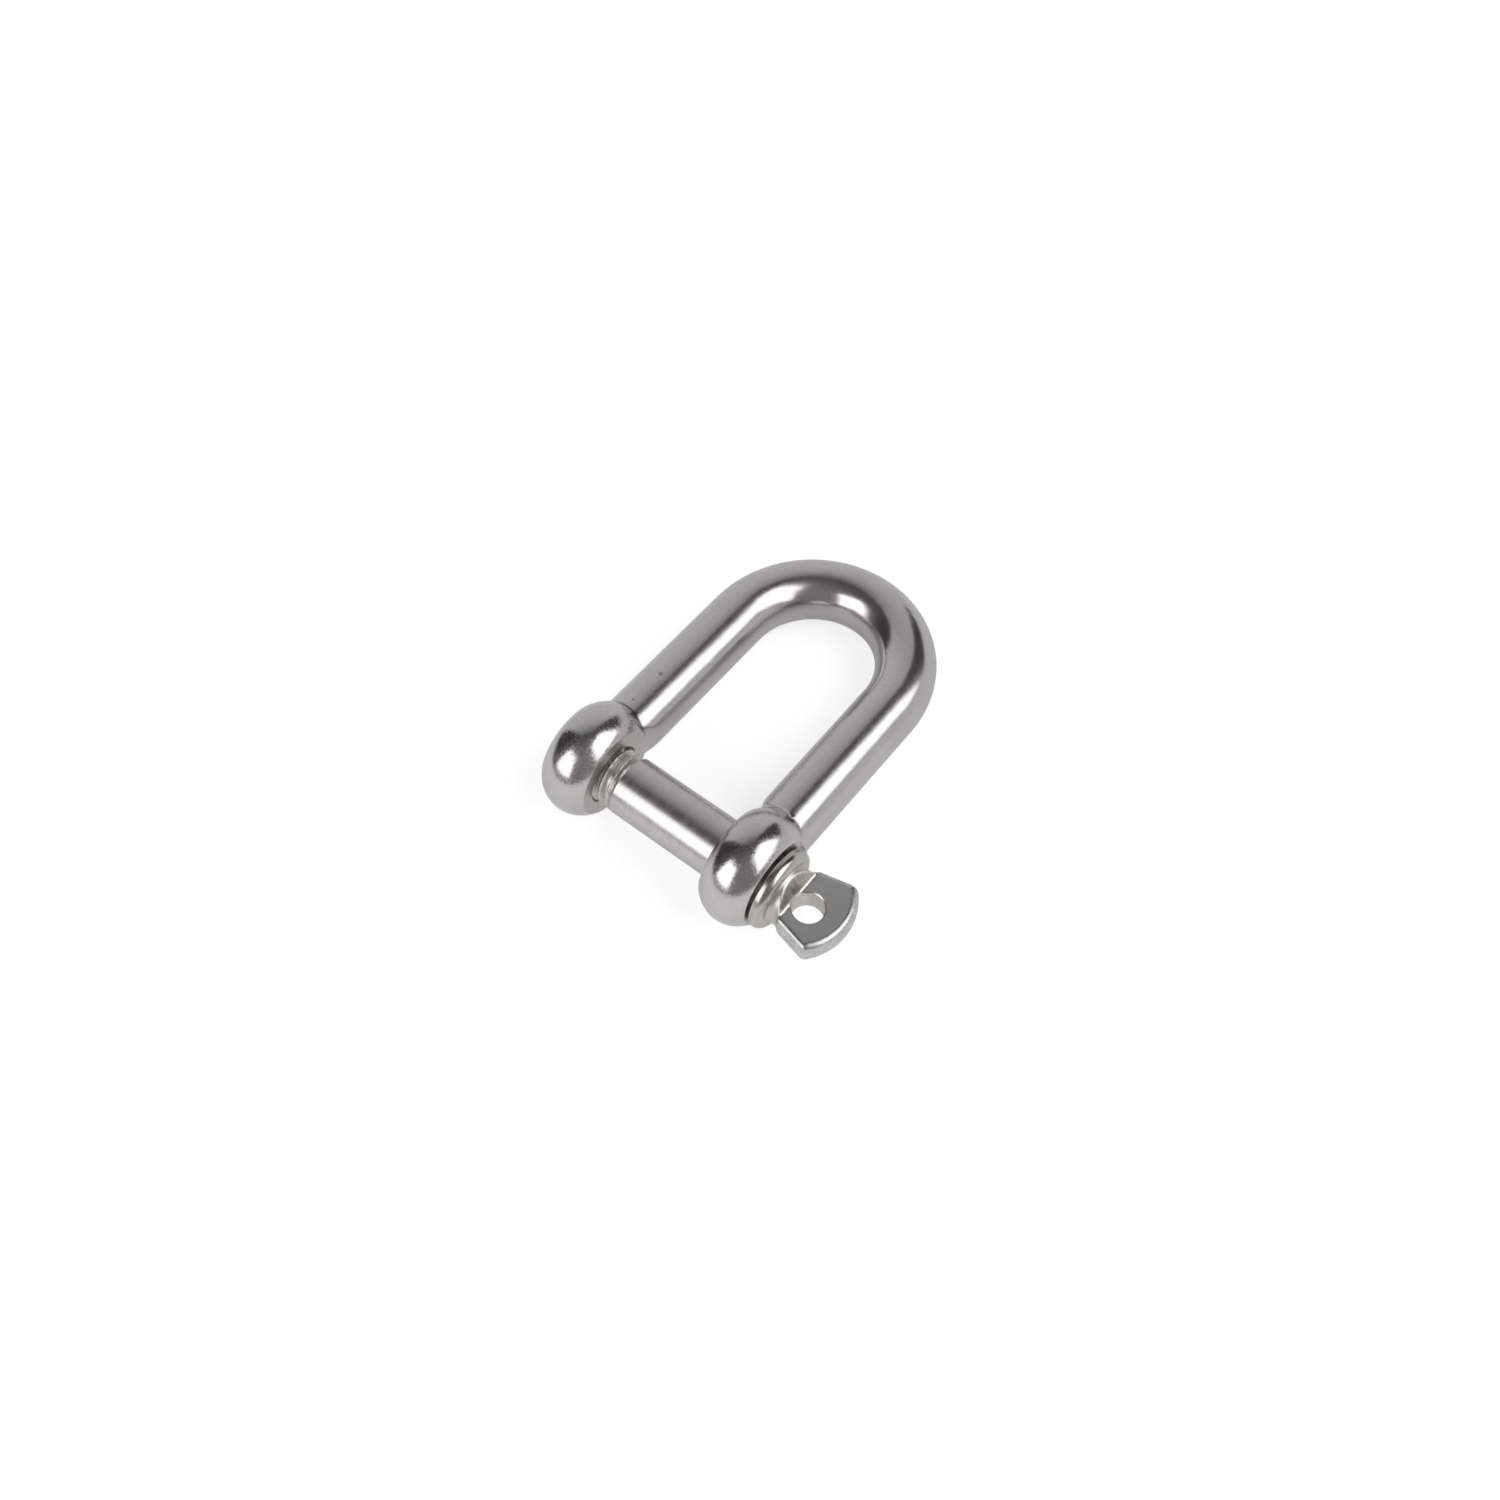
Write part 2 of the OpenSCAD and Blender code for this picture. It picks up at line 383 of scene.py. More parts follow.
def headShapes(points):
    # Signed distances to the shapes that bound the head: the turned blank (necked, then flared), the two
    # flats, which rise as sloping steps at the neck, and the domed end.
    x, y, z = np.moveaxis(points, -1, 0)
    fromAxis = np.hypot(y, z)
    inGroove = np.sqrt(np.maximum(head["neckGroove"] ** 2 - (x - neckStart - neckHalf) ** 2, 0))
    necked = head["neckRadius"] + head["neckGroove"] - inGroove
    necked = np.where(x < flareX + head["neckPast"], necked, farReach)
    flareRate = (head["widestRadius"] - head["flareRadius"]) / head["flareLength"]
    flared = head["flareRadius"] + np.maximum(x - flareX, 0) * flareRate
    radius = -smoothLarger(-necked, -flared, head["flareEdge"])
    blank = (fromAxis - radius) / np.hypot(1, flareRate)
    onStep = smoothLarger(flareX - x, 0.0, head["stepFillet"])
    slope = np.tan(head["stepSlope"]) * np.clip((flareX - x) / head["stepFillet"] / 2 + 0.5, 0, 1)
    flats = (np.abs(z) - halfTab - onStep * np.tan(head["stepSlope"])) / np.hypot(1, slope)
    fromCentre = np.stack([x - endX + domeRadius, y, head["endLean"] * z])
    domeReach = np.linalg.norm(fromCentre, axis=0)
    fromCentre[2] *= head["endLean"]
    dome = (domeReach - domeRadius) * domeReach / np.linalg.norm(fromCentre, axis=0)
    return blank, flats, dome


def headField(points):
    # The shape inside all of them, with edges rounded less at the step than at the sides and the end.
    x = points[..., 0]
    before, after = head["sideEdgeOver"]
    toSides = ease(x, flareX - before, flareX + after)
    before, after = head["endEdgeOver"]
    toEnd = ease(x, widestX - before, endX - after)
    edge = head["stepEdge"] + (head["sideEdge"] - head["stepEdge"]) * toSides
    edge = edge + (head["endEdge"] - head["sideEdge"]) * toEnd
    return roundedInside(headShapes(points), edge)


def fanned(tilt, turn):
    # Directions that lean from across the pin towards its head end.
    across = np.sin(tilt)
    return np.stack(np.broadcast_arrays(np.cos(tilt), across * np.sin(turn), across * np.cos(turn)), -1)


def endTilt(origin, turn):
    # The tilt at which a ray meets the edge of the domed end, found by halving the span.
    low, high = np.zeros(turn.shape), np.full(turn.shape, np.pi / 2)
    for _ in range(head["endHalvings"]):
        tilt = (low + high) / 2
        direction = fanned(tilt, turn)
        reach = rayReach(lambda points: np.max(headShapes(points), axis=0), origin, direction)
        blank, flats, dome = headShapes(origin + reach[:, None] * direction)
        onDome = dome > np.maximum(blank, flats)
        low, high = np.where(onDome, tilt, low), np.where(onDome, high, tilt)
    return tilt


def pinTurns():
    # Angles round the pin from straight above. Each is where the sum of a density reaches an even share: 1,
    # with a bell curve on top of it at each of the four edges of the flat head.
    even = np.linspace(0, 2 * np.pi, pin["turnSteps"])
    corner = pin["corner"]
    edges = np.radians([corner, 180 - corner, 180 + corner, 360 - corner])[:, None]
    bells = np.exp(-((even - edges) / np.radians(pin["cornerSpan"])) ** 2)
    density = 1 + pin["cornerCrowd"] * bells.sum(0)
    share = np.concatenate([[0], np.cumsum((density[1:] + density[:-1]) / 2)])
    return np.interp(np.linspace(0, 1, pin["columns"], endpoint=False), share / share[-1], even)


def threadRings(turn):
    # Places and radii of the threaded end: a helical ridge, cut off by a cone at the tip, and the cone that
    # leads up to the shank, whichever is the larger.
    x = np.linspace(pin["tipX"], threadEnd, pin["threadRows"])[:, None]
    ridged = pin["threadRadius"] - pin["threadDepth"] * (1 - ridgeHeight(x, turn / (2 * np.pi)))
    ridged = np.minimum(ridged, pin["tipRadius"] + x - pin["tipX"])
    shankCone = pin["radius"] - (threadEnd - x)
    return x, np.maximum(ridged, np.minimum(shankCone, pin["radius"]))


def collarRings():
    # Places and radii of the collar's rim: a quarter round at each edge, each with its own radius.
    rows = head["collarRows"]
    inner, outer = head["collarInner"], head["collarOuter"]
    angle = np.concatenate([np.linspace(-np.pi / 2, 0, rows[0]), np.linspace(0, np.pi / 2, rows[1])])
    size = np.repeat([inner, outer], rows)
    centre = np.repeat([head["collarX"] + inner, neckStart - outer], rows)
    x = centre + size * np.sin(angle)
    radius = head["collarRadius"] - size * (1 - np.cos(angle))
    return x[:, None], radius[:, None]


def headRings(turn):
    # Neck and head by the reach of rays from the pin's axis. They run straight across it as far as the
    # middle of the flare, and from there they fan out to the domed end, closer together at its edge.
    fanX = flareX + head["flareLength"] / 2
    neckX = np.linspace(neckStart + head["neckFrom"], flareX, head["stepRows"])
    rowX = np.concatenate([neckX, np.linspace(flareX, fanX, head["flareRows"])[1:]])[:, None]
    edgeTilt = endTilt(np.array([fanX, 0.0, 0.0]), turn)
    across, last = np.pi / 2 + 0 * turn, head["endCore"] + 0 * turn
    tilts = [across, edgeTilt + head["edgeSpan"], edgeTilt - head["edgeSpan"], last]
    counts = [head["sideRows"], head["edgeRows"], head["domeRows"]]
    tilt = np.vstack([np.linspace(*span, count)[1:] for *span, count in zip(tilts, tilts[1:], counts)])
    originX = np.vstack([rowX, np.full((len(tilt), 1), fanX)])
    tilt = np.vstack([np.full((len(rowX), len(turn)), np.pi / 2), tilt])
    origin = np.stack(np.broadcast_arrays(originX, 0 * turn, 0 * turn), -1)
    direction = fanned(tilt, turn)
    return origin + rayReach(headField, origin, direction)[..., None] * direction


def pinGrid():
    # The pin from tip to domed end, turned about its axis: thread, shank and collar by their radius along
    # the axis, then neck and head.
    turn = pinTurns()
    threadX, threadRadius = threadRings(turn)
    shankX = np.linspace(threadEnd, head["collarX"], pin["shankRows"])[1:, None]
    shankRadius = np.full(shankX.shape, pin["radius"])
    rimX, rimRadius = collarRings()
    x = np.vstack([threadX, shankX, rimX])
    radius = np.vstack([threadRadius, shankRadius + 0 * turn, rimRadius + 0 * turn])
    turned = np.stack(np.broadcast_arrays(x, radius * np.sin(turn), radius * np.cos(turn)), -1)
    return np.vstack([turned, headRings(turn)])


def holeGrid():
    # The drill for the hole in the head: straight through the flats, and a little wider outside them.
    around = np.linspace(0, 2 * np.pi, head["holeColumns"], endpoint=False)
    narrow, past = head["holeRadius"], head["drillPast"]
    wide = narrow + head["holeBreak"] + past
    height = np.array([-head["drillReach"], -halfTab - past, head["holeBreak"] - halfTab])
    height = np.concatenate([height, -height[::-1]])[:, None]
    radius = np.array([wide, wide, narrow, narrow, wide, wide])[:, None]
    x = flareX + head["holeAlong"] + radius * np.cos(around)
    return np.stack(np.broadcast_arrays(x, head["holeAside"] + radius * np.sin(around), height), -1)


def paintedEdgeHighlight(points):
    # 1 along the top edge of the milled step, where a highlight is painted, falling off as a bell curve
    # with the distance from its two faces.
    x = points[:, 0]
    blank, flats, _ = headShapes(points)
    comes, goes = head["edgeHighlightEnds"]
    onStep = ease(x, neckStart, neckStart + comes) * (1 - ease(x, flareX - goes, flareX))
    return onStep * np.exp(-(blank ** 2 + flats ** 2) / head["edgeHighlightWidth"] ** 2)


def addObject(name, points, faces):
    mesh = bpy.data.meshes.new(name)
    mesh.from_pydata(points.tolist(), [], faces)
    mesh.update()
    made = bpy.data.objects.new(name, mesh)
    bpy.context.scene.collection.objects.link(made)
    return made


def closedSurface(name, grid, ring=False):
    # A grid of rows and columns whose columns join up. A ring's last row joins its first; any other grid is
    # closed by a fan at each end. Faces are turned outwards by the sign of the volume.
    rows, columns = grid.shape[:2]
    i = np.arange(rows if ring else rows - 1)[:, None]
    j = np.arange(columns)[None]
    nextRow, nextColumn = (i + 1) % rows * columns, (j + 1) % columns
    corners = [i * columns + j, i * columns + nextColumn, nextRow + nextColumn, nextRow + j]
    quads = np.stack(np.broadcast_arrays(*corners), -1).reshape(-1, 4)
    points = grid.reshape(-1, 3)
    fans = np.zeros((0, 3), int)
    if not ring:
        j, nextColumn, last = j[0], nextColumn[0], (rows - 1) * columns
        startFan = np.stack([nextColumn, j, np.full(columns, len(points))], -1)
        endFan = np.stack([last + j, last + nextColumn, np.full(columns, len(points) + 1)], -1)
        fans = np.vstack([startFan, endFan])
        points = np.vstack([points, grid[0].mean(0), grid[-1].mean(0)])
    triangles = np.vstack([quads[:, [0, 1, 2]], quads[:, [0, 2, 3]], fans])
    a, b, c = (points[triangles[:, k]] for k in range(3))
    if (np.cross(a, b) * c).sum() < 0:
        quads, fans = quads[:, ::-1], fans[:, ::-1]
    return addObject(name, lay(points), quads.tolist() + fans.tolist())


def combine(name, base, others, operation):
    # One closed skin from several, in place of them.
    for other in others:
        cut = base.modifiers.new("combine", "BOOLEAN")
        cut.object, cut.operation, cut.solver = other, operation, "EXACT"
    skin = bpy.data.meshes.new_from_object(base.evaluated_get(bpy.context.evaluated_depsgraph_get()))
    skin.name = name
    tidied = bmesh.new()
    tidied.from_mesh(skin)
    bmesh.ops.remove_doubles(tidied, verts=tidied.verts, dist=weld * mm)
    bmesh.ops.dissolve_degenerate(tidied, edges=tidied.edges, dist=weld * mm)
    tidied.to_mesh(skin)
    tidied.free()
    for used in [base, *others]:
        bpy.data.objects.remove(used)
    made = bpy.data.objects.new(name, skin)
    bpy.context.scene.collection.objects.link(made)
    return made


def smoothFaces(piece, sharpAngle):
    piece.data.polygons.foreach_set("use_smooth", np.ones(len(piece.data.polygons), bool))
    piece.data.set_sharp_from_angle(angle=np.radians(sharpAngle))


def storeShade(piece, name, shade):
    # A value for each of a piece's points, worked out in the plane of the D and kept for its material.
    points = np.zeros(len(piece.data.vertices) * 3)
    piece.data.vertices.foreach_get("co", points)
    stored = piece.data.attributes.new(name, "FLOAT", "POINT")
    stored.data.foreach_set("value", shade(unlay(points.reshape(-1, 3))))


shackleBody = combine(
    "polished_shackle_body",
    closedSurface("bar", barGrid()),
    [
        closedSurface("tapped_eye", eyeGrid(-1, eye["tappedBore"], True), ring=True),
        closedSurface("plain_eye", eyeGrid(1, eye["plainBore"], False), ring=True),
    ],
    "UNION",
)
smoothFaces(shackleBody, bar["sharpAngle"])
# The body keeps where a dark line of painted shade goes along the creases between legs and eyes.
storeShade(shackleBody, "crease", creaseShade)
print("shackle body:", len(shackleBody.data.polygons), "faces")

screwPin = combine(
    "turned_screw_pin",
    closedSurface("pin", pinGrid()),
    [closedSurface("drill", holeGrid())],
    "DIFFERENCE",
)
smoothFaces(screwPin, pin["sharpAngle"])
# The pin keeps where a highlight is painted along the top edge of its milled step.
storeShade(screwPin, "scuff", paintedEdgeHighlight)
print("screw pin:", len(screwPin.data.polygons), "faces")


def linear(code):
    # An sRGB hex colour as linear red, green, blue and alpha.
    value = np.array([int(code[k:k + 2], 16) for k in (1, 3, 5)]) / 255
    value = np.where(value <= 0.04045, value / 12.92, ((value + 0.055) / 1.055) ** 2.4)
    return (*value.tolist(), 1.0)


def addNode(tree, kind, settings=None, **inputs):
    # One node with its settings. An input goes by name, or by number after an i, and is a value or a link
    # given as (node, output). A Mix node mixes inputs 2 and 3 into output 0 for values, and 6 and 7 into
    # output 2 for colours.
    node = tree.nodes.new(kind)
    for name, value in (settings or {}).items():
        setattr(node, name, value)
    for name, value in inputs.items():
        socket = node.inputs[int(name[1:]) if name[1:].isdigit() else name.replace("_", " ")]
        if isinstance(value, tuple) and isinstance(value[0], bpy.types.Node):
            tree.links.new(value[0].outputs[value[1]], socket)
        else:
            socket.default_value = value
    return node


def newMaterial(name):
    material = bpy.data.materials.new(name)
    material.use_nodes = True
    material.node_tree.nodes.clear()
    return material, material.node_tree


def perMetre(size):
    # Texture scale for features of a size in millimetres.
    return 1 / (size * mm)


def buffedStainless():
    # Stainless steel, forged and buffed on a cloth wheel: a bright mirror that is never quite flat, so
    # the edges of its reflections are ragged, with soft smears from the wheel and two pits left by the
    # forging.
    finish = {
        "bright": "#D2CFD0",
        "dull": "#C7C4C5",
        "pitted": "#A09B99",
        # painted shade: a dark line in the sharp crease between each leg and its eye
        "creased": "#6A6563",
        # Size in millimetres and fineness of each unevenness. The peel is as coarse as it needs to show.
        "noise": {"smear": (6.0, 4.0), "peel": (0.32, 2.0), "wave": (3.0, 1.0)},
        "peelDepth": 0.012,
        "waveDepth": 0.03,
        "peelShare": 0.6,        # of peel in tone and gloss, beside smear
        "toneSpan": (0.35, 0.65),
        "roughSpan": (0.37, 0.63),
        "eyeRough": (0.13, 0.29),
        "eyesTo": 6.6,           # from the pin's axis towards the bow
        "barFrom": 11.0,         # from here on the wheel leaves an even gloss on the bar
        "barRelief": 0.4,        # share of the unevenness that is left there
        "legRough": 0.25,
        "bowRough": 0.19,        # and a higher gloss on the bow
        "bowFull": 1.3,          # reached at this many leg lengths from the pin's axis
        "pits": [(-15.3, 16.5, 5.0), (-15.5, 10.05, 5.0)],
        "pitSizes": [0.6, 0.3],
        "pitDepth": 0.07,
    }
    material, tree = newMaterial("stainless_steel_buffed")
    place = addNode(tree, "ShaderNodeTexCoord")
    noise = {}
    for name, (size, fineness) in finish["noise"].items():
        noise[name] = addNode(tree, "ShaderNodeTexNoise", Vector=(place, "Object"), Scale=perMetre(size),
                              Detail=fineness)
    speck = addNode(tree, "ShaderNodeMix", {"data_type": "FLOAT"}, Factor=finish["peelShare"],
                    i2=(noise["smear"], 0), i3=(noise["peel"], 0))
    low, high = finish["toneSpan"]
    tone = addNode(tree, "ShaderNodeMapRange", Value=(speck, 0), From_Min=low, From_Max=high)
    colour = addNode(tree, "ShaderNodeMix", {"data_type": "RGBA"}, Factor=(tone, 0),
                     i6=linear(finish["dull"]), i7=linear(finish["bright"]))

    # The eyes keep all of the unevenness, and the bar a part of it.
    part = addNode(tree, "ShaderNodeSeparateXYZ", Vector=(place, "Object"))
    relief = addNode(tree, "ShaderNodeMapRange", Value=(part, 1), From_Min=finish["eyesTo"] * mm,
                     From_Max=finish["barFrom"] * mm, To_Min=1.0, To_Max=finish["barRelief"])
    (low, high), (glossy, dull) = finish["roughSpan"], finish["eyeRough"]
    rough = addNode(tree, "ShaderNodeMapRange", Value=(speck, 0), From_Min=low, From_Max=high,
                    To_Min=glossy, To_Max=dull)
    bowStart = bar["legLength"] * mm
    even = addNode(tree, "ShaderNodeMapRange", Value=(part, 1), From_Min=bowStart,
                   From_Max=finish["bowFull"] * bowStart, To_Min=finish["legRough"],
                   To_Max=finish["bowRough"])
    rough = addNode(tree, "ShaderNodeMix", {"data_type": "FLOAT"}, Factor=(relief, 0), i2=(even, 0),
                    i3=(rough, 0))
    normal = addNode(tree, "ShaderNodeBump", Strength=(relief, 0), Distance=finish["peelDepth"] * mm,
                     Height=(noise["peel"], 0))
    normal = addNode(tree, "ShaderNodeBump", Strength=1.0, Distance=finish["waveDepth"] * mm,
                     Height=(noise["wave"], 0), Normal=(normal, 0))

    # Each pit is 0 in its middle and 1 outside it, and their product is the whole skin.
    whole = None
    for at, size in zip(finish["pits"], finish["pitSizes"]):
        centre = tuple(lay(np.array(at)).tolist())
        away = addNode(tree, "ShaderNodeVectorMath", {"operation": "DISTANCE"}, i0=(place, "Object"),
                       i1=centre)
        clear = addNode(tree, "ShaderNodeMapRange", {"interpolation_type": "SMOOTHSTEP"},
                        Value=(away, "Value"), From_Max=size * mm)
        if whole is None:
            whole = clear
        else:
            whole = addNode(tree, "ShaderNodeMath", {"operation": "MULTIPLY"}, i0=(whole, 0), i1=(clear, 0))
    normal = addNode(tree, "ShaderNodeBump", Strength=1.0, Distance=finish["pitDepth"] * mm,
                     Height=(whole, 0), Normal=(normal, 0))
    colour = addNode(tree, "ShaderNodeMix", {"data_type": "RGBA"}, Factor=(whole, 0),
                     i6=linear(finish["pitted"]), i7=(colour, 2))
    # A dark line of painted shade along the sharp crease between each leg and its eye, where the crease
    # value is 1.
    crease = addNode(tree, "ShaderNodeAttribute", {"attribute_name": "crease"})
    colour = addNode(tree, "ShaderNodeMix", {"data_type": "RGBA"}, Factor=(crease, "Fac"), i6=(colour, 2),
                     i7=linear(finish["creased"]))
    shader = addNode(tree, "ShaderNodeBsdfPrincipled", Base_Color=(colour, 2), Metallic=1.0,
                     Roughness=(rough, 0), Normal=(normal, 0))
    addNode(tree, "ShaderNodeOutputMaterial", Surface=(shader, 0))
    return material


cutFinish = {
    "fineness": 3.0,         # of marks and smears
    "smearShare": 0.5,       # of smear in tone and gloss, beside marks
    "toneSpan": (0.35, 0.65),
    "paintedHighlight": "#F2F1EF",    # painted highlight: a pale line along an edge, with a matt gloss
    "paintedHighlightRough": 0.45,
}


def cutStainless(name, finish):
    # Stainless steel as the cutter left it: fine parallel marks, stretched along one axis or two, that
    # carry both colour and relief, over a softer unevenness.
    material, tree = newMaterial(name)
    low, high = cutFinish["toneSpan"]
    glossy, dull = finish["rough"]
    place = addNode(tree, "ShaderNodeTexCoord")
    drawn = addNode(tree, "ShaderNodeMapping", Vector=(place, "Object"), Scale=finish["across"])
    marks = addNode(tree, "ShaderNodeTexNoise", Vector=(drawn, 0), Scale=perMetre(finish["mark"]),
                    Detail=cutFinish["fineness"])
    smear = addNode(tree, "ShaderNodeTexNoise", Vector=(place, "Object"), Scale=perMetre(finish["smear"]),
                    Detail=cutFinish["fineness"])
    blend = addNode(tree, "ShaderNodeMix", {"data_type": "FLOAT"}, Factor=cutFinish["smearShare"],
                    i2=(marks, 0), i3=(smear, 0))
    tone = addNode(tree, "ShaderNodeMapRange", Value=(blend, 0), From_Min=low, From_Max=high)
    colour = addNode(tree, "ShaderNodeMix", {"data_type": "RGBA"}, Factor=(tone, 0),
                     i6=linear(finish["dull"]), i7=linear(finish["bright"]))
    rough = addNode(tree, "ShaderNodeMapRange", Value=(blend, 0), From_Min=low, From_Max=high,
                    To_Min=glossy, To_Max=dull)
    # A painted highlight along the top edge of the step: a pale colour and a matt gloss, where the edge
    # catches the light.
    scuff = addNode(tree, "ShaderNodeAttribute", {"attribute_name": "scuff"})
    colour = addNode(tree, "ShaderNodeMix", {"data_type": "RGBA"}, Factor=(scuff, "Fac"), i6=(colour, 2),
                     i7=linear(cutFinish["paintedHighlight"]))
    rough = addNode(tree, "ShaderNodeMix", {"data_type": "FLOAT"}, Factor=(scuff, "Fac"), i2=(rough, 0),
                    i3=cutFinish["paintedHighlightRough"])
    normal = addNode(tree, "ShaderNodeBump", Strength=1.0, Distance=finish["markDepth"] * mm,
                     Height=(marks, 0))
    normal = addNode(tree, "ShaderNodeBump", Strength=1.0, Distance=finish["smearDepth"] * mm,
                     Height=(smear, 0), Normal=(normal, 0))
    shader = addNode(tree, "ShaderNodeBsdfPrincipled", Base_Color=(colour, 2), Metallic=1.0,
                     Roughness=(rough, 0), Normal=(normal, 0))
    addNode(tree, "ShaderNodeOutputMaterial", Surface=(shader, 0))
    return material


# Marks and smears have a size and a depth in millimetres, and marks are stretched where across is small.
# The eyes' faces and holes were cut after the buffing: a satin grey with faint, broad marks.
eyeFinish = {
    "bright": "#D3D0CE", "dull": "#C5C2C0", "rough": (0.26, 0.38), "across": (1.0, 0.3, 0.3),
    "mark": 0.4, "markDepth": 0.004, "smear": 1.0, "smearDepth": 0.01}
eyeZone = {
    "facing": 0.985,     # least share of a flat face's normal that points along the pin
    "inRim": 2.0,        # the face ends at least this far inside the rim
    "holeMargin": 0.05,
}

# Marks run round the pin where a lathe made them, and up the step and along the flats where a mill did.
pinFinish = {
    # Shank: a soft mirror with faint rings.
    "stainless_steel_turned_polished": {
        "bright": "#D2CFD0", "dull": "#C7C4C5", "rough": (0.24, 0.30), "across": (1.0, 0.03, 0.03),
        "mark": 0.5, "markDepth": 0.001, "smear": 2.5, "smearDepth": 0.014},
    # Collar: a greyer mirror, a little blurred.
    "stainless_steel_turned_dull": {
        "bright": "#CCCAC7", "dull": "#B3B1AD", "rough": (0.18, 0.28), "across": (1.0, 0.04, 0.04),
        "mark": 0.4, "markDepth": 0.002, "smear": 1.5, "smearDepth": 0.014},
    # Neck and hole: a matt sheen.
    "stainless_steel_turned_satin": {
        "bright": "#D2D0CC", "dull": "#BFBDB9", "rough": (0.30, 0.42), "across": (1.0, 0.05, 0.05),
        "mark": 0.3, "markDepth": 0.006, "smear": 1.2, "smearDepth": 0.02},
    # Thread: pale, burnished flanks.
    "stainless_steel_rolled_thread": {
        "bright": "#DEDBD9", "dull": "#CAC7C5", "rough": (0.24, 0.38), "across": (1.0, 0.2, 0.2),
        "mark": 0.4, "markDepth": 0.004, "smear": 0.8, "smearDepth": 0.015},
    # Flats of the head: an even grey gloss with faint lines along it.
    "stainless_steel_milled_flat": {
        "bright": "#CFCDCD", "dull": "#C5C3C3", "rough": (0.20, 0.28), "across": (0.04, 1.0, 1.0),
        "mark": 0.35, "markDepth": 0.0008, "smear": 4.0, "smearDepth": 0.003},
    # Step: light and dark streaks up its slope.
    "stainless_steel_milled_step": {
        "bright": "#DCD8D2", "dull": "#9C9791", "rough": (0.28, 0.42), "across": (0.12, 1.0, 0.12),
        "mark": 0.6, "markDepth": 0.016, "smear": 2.0, "smearDepth": 0.01},
    # Edges and end of the head: pale, with fine specks.
    "stainless_steel_tumbled": {
        "bright": "#D9D8D8", "dull": "#B8B7B7", "rough": (0.24, 0.36), "across": (1.0, 1.0, 1.0),
        "mark": 0.35, "markDepth": 0.004, "smear": 1.5, "smearDepth": 0.006},
}
pinZone = {
    "flatFacing": 0.99,  # least share of a flat's normal that points up or down
    "stepFacing": 0.6,   # least share of a step's normal that points to the head's end
    "stepAside": 0.35,   # and the most that points sideways
    "stepPast": 0.3,     # the step's hollow foot runs this far into the flats
    "satinFrom": 0.1,    # the neck's finish starts this far inside the collar
}


def faceData(piece):
    # Centres and normals of a piece's faces, back in the plane of the D.
    count = len(piece.data.polygons)
    centre, normal = np.zeros(count * 3), np.zeros(count * 3)
    piece.data.polygons.foreach_get("center", centre)
    piece.data.polygons.foreach_get("normal", normal)
    return unlay(centre.reshape(-1, 3)), unlay(normal.reshape(-1, 3) * mm)


def bodyZones(centre, normal):
    # 1 for the flat faces and holes of the eyes, and 0 for the rest.
    x, y, z = centre.T
    inEye = np.abs(np.abs(x) - eye["middleX"]) < halfEye + hair
    inRim = np.hypot(y - eye["rise"], z) < eye["radius"] - eyeZone["inRim"]
    face = (np.abs(normal[:, 0]) > eyeZone["facing"]) & inRim
    hole = np.hypot(y, z) < eye["plainBore"] + eye["sink"] + eyeZone["holeMargin"]
    return (inEye & (face | hole)).astype(np.int32)


def pinZones(centre, normal):
    # Which finish each face of the pin has, as a number in the order of pinFinish.
    x, y, z = centre.T
    number = {name: k for k, name in enumerate(pinFinish)}
    pastNeck = x > neckStart
    flat = (np.abs(normal[:, 2]) > pinZone["flatFacing"]) & (x > flareX)
    step = (normal[:, 0] > pinZone["stepFacing"]) & (np.abs(normal[:, 1]) < pinZone["stepAside"])
    step &= pastNeck & (x < flareX + pinZone["stepPast"]) & (np.abs(z) > halfTab)
    fromHole = np.hypot(x - flareX - head["holeAlong"], y - head["holeAside"])
    holeWall = pastNeck & (fromHole < head["holeRadius"] + head["holeBreak"] / 2)
    zones = np.full(len(x), number["stainless_steel_turned_polished"], np.int32)
    zones[x < threadEnd] = number["stainless_steel_rolled_thread"]
    zones[x > head["collarX"]] = number["stainless_steel_turned_dull"]
    zones[(x > neckStart - pinZone["satinFrom"]) & (x <= flareX)] = number["stainless_steel_turned_satin"]
    zones[x > flareX] = number["stainless_steel_tumbled"]
    zones[flat] = number["stainless_steel_milled_flat"]
    zones[step] = number["stainless_steel_milled_step"]
    zones[holeWall] = number["stainless_steel_turned_satin"]
    return zones


shackleBody.data.materials.append(buffedStainless())
shackleBody.data.materials.append(cutStainless("stainless_steel_faced", eyeFinish))
shackleBody.data.polygons.foreach_set("material_index", bodyZones(*faceData(shackleBody)))
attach(shackleBody, "shackle_body")
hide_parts("shackle_body")

for name, finish in pinFinish.items():
    screwPin.data.materials.append(cutStainless(name, finish))
screwPin.data.polygons.foreach_set("material_index", pinZones(*faceData(screwPin)))
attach(screwPin, "screw_pin")
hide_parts("screw_pin")
print("materials set")

